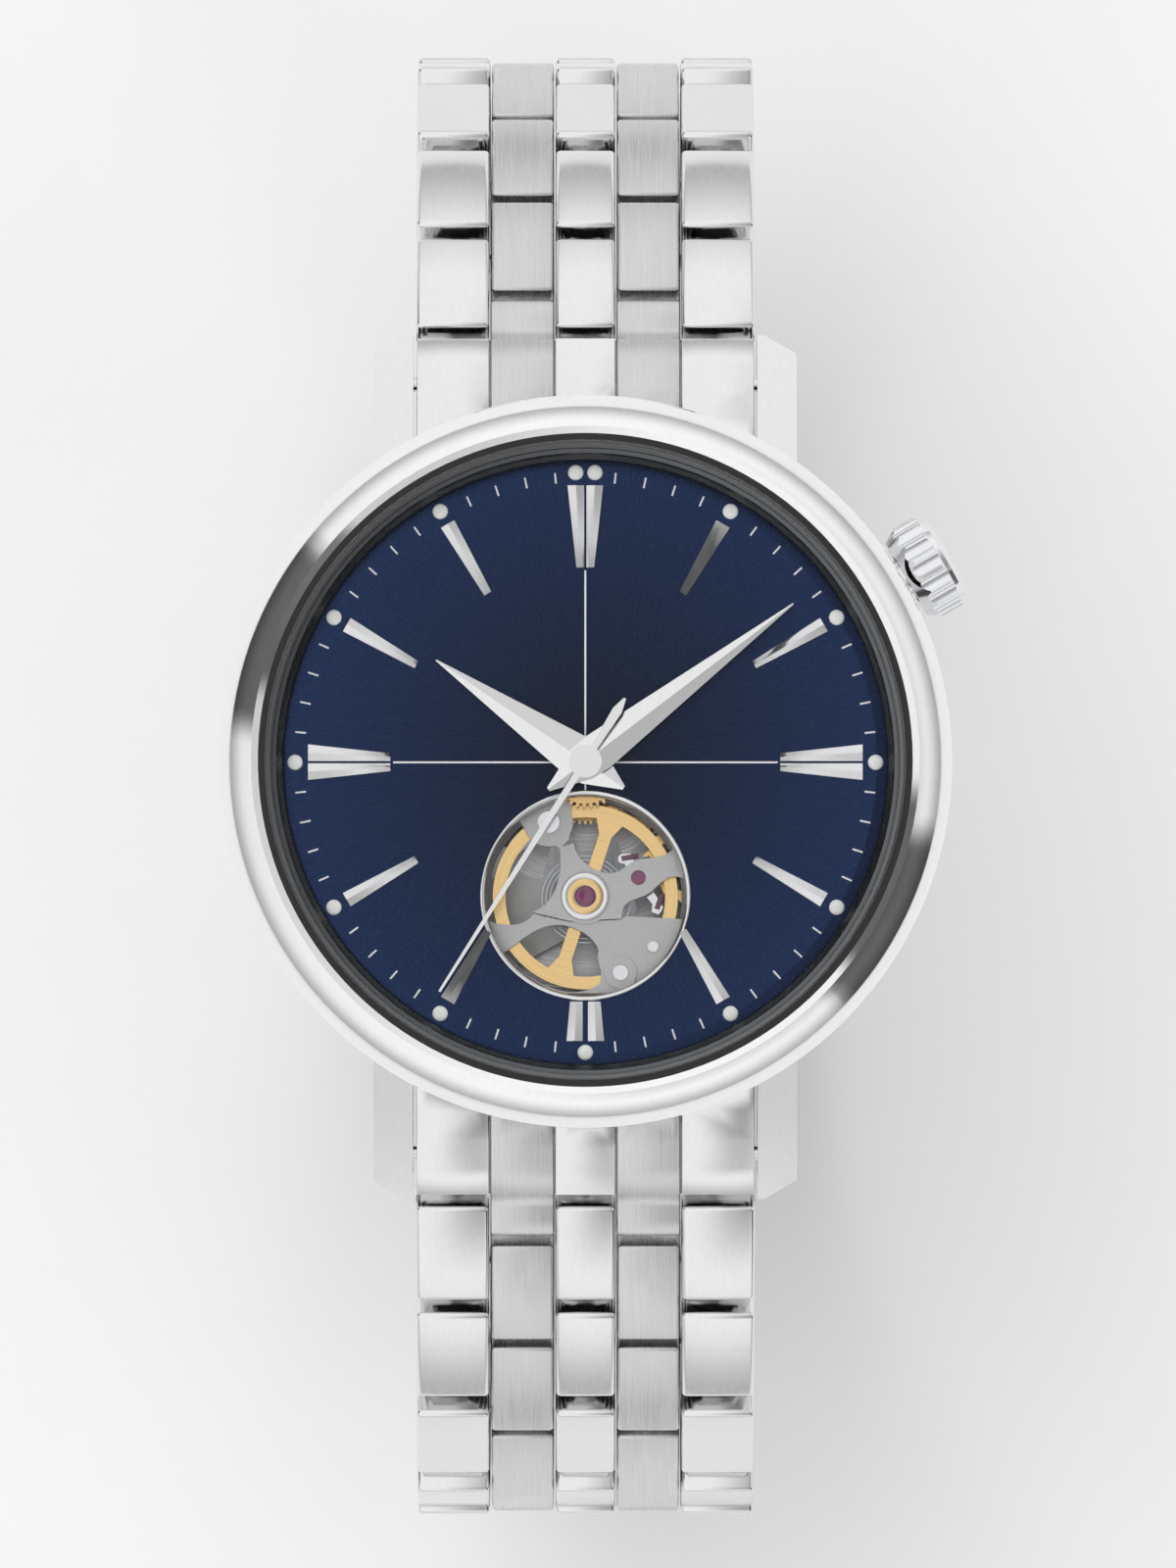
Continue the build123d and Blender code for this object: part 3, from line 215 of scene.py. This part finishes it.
def sunburst(name):
    """Navy lacquer over a dial brushed from its centre outwards."""
    finish = Finish(name, 0.85)
    around = finish.polar(0, 0)
    rays = finish.noise((120, 110, 10), 4, 0.7, around)
    parts = finish.add("ShaderNodeSeparateXYZ")
    finish.link(around, parts.inputs[0])
    outwards = finish.spread(parts.outputs[0], 0.25, 0.8, 0.001, 0.0165)
    finish.colour(finish.mix(outwards, rays, 0.10), (0.0012, 0.0040, 0.016), (0.0055, 0.022, 0.080), 0.25, 0.78)
    finish.rough(rays, 0.22, 0.32)
    finish.bump(finish.noise((60, 260, 10), 3, 0.6, around), 0.03, 0.005)
    tangent = finish.add("ShaderNodeTangent", direction_type="RADIAL", axis="Z")
    finish.link(tangent.outputs["Tangent"], finish.shader.inputs["Tangent"])
    finish.shader.inputs["Anisotropic"].default_value = 0.8
    finish.shader.inputs["Coat Weight"].default_value = 0.08
    finish.shader.inputs["Coat Roughness"].default_value = 0.04
    return finish.material


def clear_glass(name):
    """Flat sapphire: nearly clear, with the surface's own faint reflection."""
    finish = Finish(name, 0.0, 1.77)
    finish.colour(finish.noise((300, 300, 300), 2), (0.9, 0.93, 0.96), (1.0, 1.0, 1.0))
    finish.rough(finish.noise((900, 900, 900), 3), 0.0, 0.02)
    edge_glow = finish.add("ShaderNodeLayerWeight")
    edge_glow.inputs["Blend"].default_value = 0.25
    finish.link(finish.spread(edge_glow.outputs["Facing"], 0.004, 0.30, 0.0, 1.0),
                finish.shader.inputs["Alpha"])
    return finish.material


def ruby(name):
    """Synthetic ruby, clear deep red with faint growth lines."""
    finish = Finish(name, 0.0, 1.77)
    lines = finish.noise((900, 2600, 900), 3)
    finish.colour(lines, (0.07, 0.003, 0.035), (0.20, 0.008, 0.095))
    finish.rough(lines, 0.03, 0.09)
    finish.shader.inputs["Coat Weight"].default_value = 0.2
    return finish.material


steel = (0.78, 0.78, 0.79)
case_polish = polished("case_polish", steel)
bezel_polish = polished("bezel_polish", (0.90, 0.90, 0.90), 0.04, 0.07)
link_polish = polished("link_polish", (0.80, 0.80, 0.80), 0.08, 0.13)
link_brush = brushed("link_brush", (0.74, 0.74, 0.735))
clasp_brush = brushed("clasp_brush", (0.56, 0.565, 0.57), 0.24, 0.42)
crown_polish = polished("crown_polish", (0.82, 0.83, 0.85), 0.06, 0.12)
silver = polished("silver_trim", (0.80, 0.80, 0.81), 0.05, 0.12)
seconds_silver = polished("seconds_silver", (0.78, 0.78, 0.79), 0.16, 0.26)
back_turned = turned_metal("back_turned", (0.72, 0.73, 0.75), 0, 0)
chapter_dark = turned_metal("chapter_dark", (0.13, 0.135, 0.14), 0, 0, 0.22, 0.36)
rotor_grain = turned_metal("rotor_grain", (0.58, 0.58, 0.60), 0, 0, 0.22, 0.4, 9000)
bridge_blast = blasted("bridge_blast", (0.66, 0.66, 0.66), 13000)
plate_blast = blasted("plate_blast", (0.30, 0.30, 0.31), 7000, 0.4, 0.56)
train_gilt = turned_metal("train_gilt", (0.78, 0.53, 0.23), 0, 0)
balance_gilt = turned_metal("balance_gilt", (0.88, 0.62, 0.29), 0, -7.45, 0.14, 0.24)
spring_steel = polished("spring_steel", (0.44, 0.47, 0.54), 0.12, 0.22)
screw_polish = polished("screw_polish", (0.70, 0.71, 0.74), 0.07, 0.16)
stone = ruby("ruby")
sapphire = clear_glass("sapphire")
rubber = plain("rubber", (0.008, 0.008, 0.009), (0.02, 0.02, 0.022), 4000, 0.5, 0.7)
moulded = plain("moulded", (0.42, 0.42, 0.41), (0.52, 0.52, 0.5), 2500, 0.4, 0.55)
print_white = plain("print_white", (0.74, 0.74, 0.75), (0.88, 0.88, 0.88), 9000, 0.35, 0.5)
lume = plain("lume", (0.78, 0.80, 0.78), (0.92, 0.93, 0.90), 12000, 0.45, 0.65, bump=0.3)
dial_blue = sunburst("dial_blue")

coverings = {
    case_polish: ["case_middle", "spring_bars", "clasp_button_left", "clasp_button_right"],
    bezel_polish: ["bezel"],
    sapphire: ["crystal", "case_back_glass"],
    rubber: ["case_gaskets", "crown_gasket"],
    chapter_dark: ["rehaut_ring"],
    dial_blue: ["dial"],
    silver: ["hour_indices", "hour_hand", "minute_hand"],
    seconds_silver: ["seconds_hand"],
    back_turned: ["case_back"],
    plate_blast: ["main_plate", "train_bridge"],
    bridge_blast: ["heart_bridge", "balance_cock"],
    moulded: ["movement_holder"],
    screw_polish: ["movement_screws", "stem", "pallet_fork", "ratchet_wheel"],
    stone: ["jewels"],
    train_gilt: ["centre_wheel", "hour_wheel", "minute_wheel", "barrel", "third_wheel", "fourth_wheel",
                 "escape_wheel"],
    balance_gilt: ["balance_wheel"],
    spring_steel: ["hairspring"],
    rotor_grain: ["rotor"],
    crown_polish: ["crown"],
    clasp_brush: ["clasp_cover", "clasp_blade_long", "clasp_blade_short"],
    link_polish: ["end_link_12", "end_link_6"],
}
for material, names in coverings.items():
    for name in names:
        nodes[name].data.materials.clear()
        nodes[name].data.materials.append(material)

# the end links' two inner columns are brushed, as the links' are
for name in ("end_link_12", "end_link_6"):
    mesh = nodes[name].data
    mesh.materials.append(link_brush)
    for face in mesh.polygons:
        if 1.75 < abs(face.center.x) / MM < 5.33:
            face.material_index = 1


def soften(name, width, angle=35):
    """Round a carried-over node's edges a little, so that they catch the light."""
    node = nodes[name]
    weld = node.modifiers.new("weld", "WELD")
    weld.merge_threshold = 1e-6
    bevel = node.modifiers.new("bevel", "BEVEL")
    bevel.width = width * MM
    bevel.segments = 2
    bevel.limit_method = "ANGLE"
    bevel.angle_limit = radians(angle)
    bevel.harden_normals = False


for name in ("end_link_12", "end_link_6", "clasp_cover", "clasp_blade_long", "clasp_blade_short"):
    soften(name, 0.08)
for name in ("heart_bridge", "balance_cock"):
    soften(name, 0.06)


# ---------------------------------------------------------------- mesh helpers
def put(name, points, faces, body, material, slot, replaced=None, sharp=32):
    """Make one piece from millimetre points, shade it and hang it on its body."""
    mesh = bpy.data.meshes.new(name)
    mesh.from_pydata([Vector(point) * MM for point in points], [], faces)
    cleaner = bmesh.new()
    cleaner.from_mesh(mesh)
    bmesh.ops.recalc_face_normals(cleaner, faces=cleaner.faces)
    cleaner.to_mesh(mesh)
    cleaner.free()
    mesh.shade_smooth()
    mesh.set_sharp_from_angle(angle=radians(sharp))
    mesh.materials.append(material)
    piece = bpy.data.objects.new(name, mesh)
    bpy.context.scene.collection.objects.link(piece)
    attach(piece, body)
    if replaced:
        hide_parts(replaced)
    return piece


def inset(outline, amount):
    """Move every corner of a closed outline inwards."""
    count = len(outline)
    area = sum(outline[i - 1][0] * outline[i][1] - outline[i][0] * outline[i - 1][1] for i in range(count))
    turn = 1 if area > 0 else -1
    moved = []
    for i in range(count):
        before = Vector(outline[i]) - Vector(outline[i - 1])
        after = Vector(outline[(i + 1) % count]) - Vector(outline[i])
        first = Vector((-before.y, before.x)).normalized() * turn
        second = Vector((-after.y, after.x)).normalized() * turn
        middle = (first + second).normalized()
        moved.append(Vector(outline[i]) + middle * amount / max(middle.dot(first), 0.5))
    return moved


def prism(outline, low, high, rounding, place):
    """Points and faces of an outline drawn out from low to high, with its end edges rounded.

    place(u, v, w) turns the outline's own coordinates and the height into a point.
    """
    stations = []
    for step in range(4):
        turn = pi / 2 * step / 3
        stations.append((low + rounding * (1 - cos(turn)), rounding * (1 - sin(turn))))
    stations += [(high - (w - low), shrink) for w, shrink in reversed(stations)]
    points = []
    for w, shrink in stations:
        points += [place(u, v, w) for u, v in inset(outline, shrink)]
    count = len(outline)
    faces = [list(range(count))[::-1], list(range(len(points) - count, len(points)))]
    for ring in range(len(stations) - 1):
        for i in range(count):
            after = (i + 1) % count
            faces.append([ring * count + i, ring * count + after,
                          (ring + 1) * count + after, (ring + 1) * count + i])
    return points, faces


def arc(x, y, radius, start, end, steps):
    """Points of an arc, angles in degrees."""
    return [(x + radius * cos(radians(start + (end - start) * i / steps)),
             y + radius * sin(radians(start + (end - start) * i / steps))) for i in range(steps + 1)]


def lathe(profile, x, y, steps=96):
    """Points and faces of a closed (radius, height) profile turned about a vertical axis."""
    points = []
    for i in range(steps):
        points += [(x + r * cos(tau * i / steps), y + r * sin(tau * i / steps), z) for r, z in profile]
    count = len(profile)
    faces = []
    for i in range(steps):
        for j in range(count):
            after = (j + 1) % count
            ring = ((i + 1) % steps) * count
            faces.append([i * count + j, i * count + after, ring + after, ring + j])
    return points, faces


def gather(parts):
    """Several (points, faces) pairs as one."""
    points = []
    faces = []
    for some_points, some_faces in parts:
        faces += [[index + len(points) for index in face] for face in some_faces]
        points += some_points
    return points, faces


def upright(x, y, angle):
    """place() for a prism that stands on the dial, turned by an angle in degrees."""
    c, s = cos(radians(angle)), sin(radians(angle))
    return lambda u, v, w: (x + u * c - v * s, y + u * s + v * c, w)


# ---------------------------------------------------------------- bracelet links
pitch = 6.25
row_gap = 0.4
nose = 1.05
link_top = 1.7
pair_top = link_top - 0.18
polished_end = pitch - row_gap - nose
brushed_start = 2.5 - nose


def polished_outline(end, corner=0.3):
    """Side view of a polished piece, anticlockwise from under the pivot."""
    outline = arc(end - corner, corner - nose, corner, -90, 0, 4)
    outline += arc(end - corner, link_top - corner, corner, 0, 86, 5)
    outline += [(end / 2 - nose / 2, link_top + 0.07)]
    outline += arc(corner - nose, link_top - corner, corner, 94, 180, 5)
    outline += arc(0, 0, nose, 180, 270, 10)
    return outline


def brushed_outline(start, pivot, corner=0.22):
    """Side view of a brushed piece, anticlockwise from under the next pivot."""
    tip = pivot + nose
    outline = arc(pivot, 0, nose, -90, 0, 10)
    outline += arc(tip - corner, pair_top - corner, corner, 0, 86, 4)
    outline += [((start + tip) / 2, pair_top + 0.07)]
    outline += arc(start + corner, pair_top - corner, corner, 94, 180, 4)
    outline += arc(start + corner, corner - nose, corner, 180, 270, 4)
    return outline


def link_place(side, pivot, slope):
    """place() for a bracelet piece: u runs along the bracelet, v points outwards, w is X."""
    c, s = cos(slope), sin(slope)
    return lambda u, v, w: (w, side * (pivot[0] + u * c + v * s), pivot[1] - u * s + v * c)


def pin_end(side, pivot, slope, along, x):
    """A pin's end, nearly flush with the bracelet's side."""
    place = link_place(side, pivot, slope)
    sign = 1 if x > 0 else -1
    rings = [(0.46, 0.0), (0.42, 0.012), (0.38, -0.01), (0.34, 0.02), (0.12, 0.03)]
    points = []
    for radius, height in rings:
        points += [place(along + radius * cos(tau * i / 20), radius * sin(tau * i / 20), x + sign * height)
                   for i in range(20)]
    faces = [list(range(80, 100))]
    for ring in range(4):
        faces += [[ring * 20 + i, ring * 20 + (i + 1) % 20, ring * 20 + 20 + (i + 1) % 20, ring * 20 + 20 + i]
                  for i in range(20)]
    return points, faces


columns = (("outer_left", -9.5, -5.40), ("centre", -1.68, 1.68), ("outer_right", 5.40, 9.5))
pairs = (("pair_left", -5.29, -1.79), ("pair_right", 1.79, 5.29))
for side, side_name in ((1, "12"), (-1, "6")):
    pivots = [joints[f"link_{side_name}_{k}_hinge"]["pos_m"] for k in range(1, 10)]
    pivots.append(joints["clasp_cover_hinge"]["pos_m"])
    pivots = [(abs(point[1]) / MM, point[2] / MM) for point in pivots]
    for k in range(9):
        here, ahead = pivots[k], pivots[k + 1]
        slope = atan2(here[1] - ahead[1], ahead[0] - here[0])
        place = link_place(side, here, slope)
        node = f"link_{side_name}_{k + 1}"
        for label, low, high in columns:
            shape = prism(polished_outline(polished_end), low, high, 0.26, place)
            put(f"{node}_{label}", *shape, node, link_polish, "bracelet_steel", node)
        for label, low, high in pairs:
            shape = prism(brushed_outline(brushed_start, pitch), low, high, 0.2, place)
            put(f"{node}_{label}", *shape, node, link_brush, "bracelet_steel", node)
        fixed = (brushed_start + polished_end) / 2
        ends = [pin_end(side, here, slope, along, x) for along in (0, fixed) for x in (-9.5, 9.5)]
        put(f"{node}_pin_ends", *gather(ends), node, screw_polish, "bracelet_steel", node)

# ---------------------------------------------------------------- dial furniture
dial_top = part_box("dial")[1].z / MM - 0.12
balance_y = -7.45
dot_circle = 16.23
dot_radius = 0.43
twin_dot = 0.54
track_circle = 16.0
cross_reach = 10.75
cross_half = 0.05

dots = []
for hour in range(12):
    angle = radians(90 - 30 * hour)
    places = [(dot_circle * cos(angle), dot_circle * sin(angle))]
    if hour == 0:
        places = [(-twin_dot, dot_circle), (twin_dot, dot_circle)]
    if hour == 6:
        places = [(0, -dot_circle)]
    for x, y in places:
        dome = [(0.02, dial_top)] + [(dot_radius * cos(radians(t)) + 0.001, dial_top + 0.16 * sin(radians(t)))
                                     for t in (0, 18, 36, 54, 72, 88)]
        dots.append(lathe(dome, x, y, 28))
put("luminous_dots", *gather(dots), "case", lume, "silver_trim", sharp=60)

ticks = []
for minute in range(60):
    if minute % 5:
        angle = 90 - 6 * minute
        x, y = track_circle * cos(radians(angle)), track_circle * sin(radians(angle))
        box = [(-0.3, -0.05), (0.3, -0.05), (0.3, 0.05), (-0.3, 0.05)]
        ticks.append(prism(box, dial_top, dial_top + 0.014, 0.004, upright(x, y, angle)))
put("minute_track", *gather(ticks), "case", print_white, "silver_trim")

lines = []
for x_low, x_high, y_low, y_high in ((-cross_half, cross_half, -1.55, cross_reach),
                                     (-cross_reach, cross_reach, -cross_half, cross_half)):
    box = [(x_low, y_low), (x_high, y_low), (x_high, y_high), (x_low, y_high)]
    lines.append(prism(box, dial_top, dial_top + 0.012, 0.003, upright(0, 0, 0)))
put("dial_crosshair", *gather(lines), "case", print_white, "silver_trim")

rim = [(5.56, 8.3), (5.56, 8.52), (5.60, 8.60), (5.68, 8.68), (5.76, 8.73), (5.82, 8.73), (5.88, 8.70),
       (5.91, 8.60)]
put("aperture_rim", *lathe(rim, 0, balance_y, 160), "case", silver, "silver_trim", sharp=70)

# ---------------------------------------------------------------- open heart details
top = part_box("heart_bridge")[1].z / MM
gold_setting = [(0.60, top - 0.12), (0.62, top + 0.03), (0.70, top + 0.045), (0.92, top + 0.045),
                (0.99, top + 0.02), (1.0, top - 0.05)]
put("jewel_setting", *lathe(gold_setting, 0, balance_y), "case", balance_gilt, "gilt_brass", sharp=50)
steel_setting = [(1.02, top - 0.05), (1.04, top + 0.01), (1.10, top + 0.028), (1.24, top + 0.028),
                 (1.30, top + 0.008), (1.31, top - 0.05)]
put("jewel_washer", *lathe(steel_setting, 0, balance_y), "case", seconds_silver, "screw_steel", sharp=50)
cup = [(0.05, top - 0.07), (0.10, top - 0.045), (0.22, top - 0.015), (0.34, top + 0.012), (0.46, top + 0.018),
       (0.55, top + 0.0), (0.585, top - 0.05), (0.585, top - 0.12), (0.05, top - 0.12)]
put("balance_jewel", *lathe(cup, 0, balance_y, 64), "case", stone, "ruby", sharp=60)
for label, x, y, angle in (("entry", 2.5, 2.27, 11), ("exit", 4.16, -0.2, 71)):
    box = [(-0.485, -0.15), (0.485, -0.15), (0.485, 0.15), (-0.485, 0.15)]
    shape = prism(box, 5.70, 6.10, 0.04, upright(x, balance_y + y, angle))
    put(f"pallet_{label}", *shape, "pallet_fork", stone, "ruby")

# ---------------------------------------------------------------- stage, light and camera
floor_level = cad_box[0][2] / MM - 0.3
floor_mesh = bpy.data.meshes.new("floor")
floor_half = 6
corners = [(x * floor_half, y * floor_half, floor_level * MM) for x, y in ((-1, -1), (1, -1), (1, 1), (-1, 1))]
floor_mesh.from_pydata(corners, [], [[0, 1, 2, 3]])
floor_mesh.materials.append(plain("floor", (0.93, 0.93, 0.93), (0.95, 0.95, 0.95), 40, 0.7, 0.8, bump=0.0))
floor = bpy.data.objects.new("floor", floor_mesh)
bpy.context.scene.collection.objects.link(floor)

world = bpy.data.worlds.new("studio")
bpy.context.scene.world = world
world.use_nodes = True
tree = world.node_tree
background = tree.nodes["Background"]


def maths(operation, first, second=None, third=None):
    node = tree.nodes.new("ShaderNodeMath")
    node.operation = operation
    for index, value in enumerate((first, second, third)):
        if value is None:
            continue
        if isinstance(value, (int, float)):
            node.inputs[index].default_value = value
        else:
            tree.links.new(value, node.inputs[index])
    return node.outputs[0]


def step_between(value, start, end):
    node = tree.nodes.new("ShaderNodeMapRange")
    node.interpolation_type = "SMOOTHSTEP"
    node.inputs["From Min"].default_value = start
    node.inputs["From Max"].default_value = end
    tree.links.new(value, node.inputs["Value"])
    return node.outputs["Result"]


# dark flags left and right, a bright band overhead, and a ceiling that dims towards the east
direction = tree.nodes.new("ShaderNodeTexCoord").outputs["Generated"]
parts = tree.nodes.new("ShaderNodeSeparateXYZ")
tree.links.new(direction, parts.inputs[0])
east, north, up = parts.outputs
flat = maths("SQRT", maths("ADD", maths("MULTIPLY", east, east), maths("MULTIPLY", north, north)))
flat = maths("MAXIMUM", flat, 0.0001)
flag_line = radians(155)
across = maths("ADD", maths("MULTIPLY", east, cos(flag_line)), maths("MULTIPLY", north, sin(flag_line)))
share = maths("ABSOLUTE", maths("DIVIDE", across, flat))
flags = maths("MULTIPLY", step_between(share, 0.945, 0.975), step_between(up, 0.74, 0.62))
ahead = maths("POWER", maths("DIVIDE", north, flat), 2.0)
bands = maths("ADD", 0.50, maths("MULTIPLY", step_between(up, -0.05, 0.50), 0.54))
sides = maths("MULTIPLY", maths("ADD", 0.86, maths("MULTIPLY", ahead, 0.16)), bands)
overhead = step_between(up, 0.45, 0.86)
lean = maths("ADD", maths("MULTIPLY", east, -0.95), maths("MULTIPLY", north, 0.20))
ceiling = maths("ADD", 0.36, maths("MULTIPLY", step_between(lean, -0.42, 0.10), 0.68))
low_light = maths("MULTIPLY", sides, maths("SUBTRACT", 1.0, overhead))
light = maths("ADD", low_light, maths("MULTIPLY", overhead, ceiling))
light = maths("MULTIPLY", light, maths("SUBTRACT", 1.0, maths("MULTIPLY", flags, 0.85)))
tree.links.new(light, background.inputs["Strength"])
background.inputs["Color"].default_value = (1.0, 1.0, 1.0, 1)


def softbox(name, place, size, power, aim=(0, 0, 0)):
    """Square area light that faces a point."""
    data = bpy.data.lights.new(name, "AREA")
    data.size = size
    data.energy = power
    lamp = bpy.data.objects.new(name, data)
    lamp.location = place
    lamp.visible_glossy = False
    lamp.rotation_euler = (Vector(aim) - Vector(place)).to_track_quat("-Z", "Y").to_euler()
    bpy.context.scene.collection.objects.link(lamp)


softbox("key", (-0.5, 0.6, 1.0), 1.2, 4.5)
softbox("fill", (0.7, -0.5, 0.9), 0.9, 2.0)

reach = 1.4
frame_width = 0.0876
tilt = radians(3)
target = Vector((0.00015, -0.00126, 0.0095))
camera_data = bpy.data.cameras.new("camera")
camera_data.lens = camera_data.sensor_width * reach / frame_width
camera_data.clip_start = 0.01
camera = bpy.data.objects.new("camera", camera_data)
camera.location = target + Vector((0, -sin(tilt), cos(tilt))) * reach
camera.rotation_euler = (target - camera.location).to_track_quat("-Z", "Y").to_euler()
bpy.context.scene.collection.objects.link(camera)
bpy.context.scene.camera = camera
bpy.context.scene.view_settings.view_transform = "Standard"
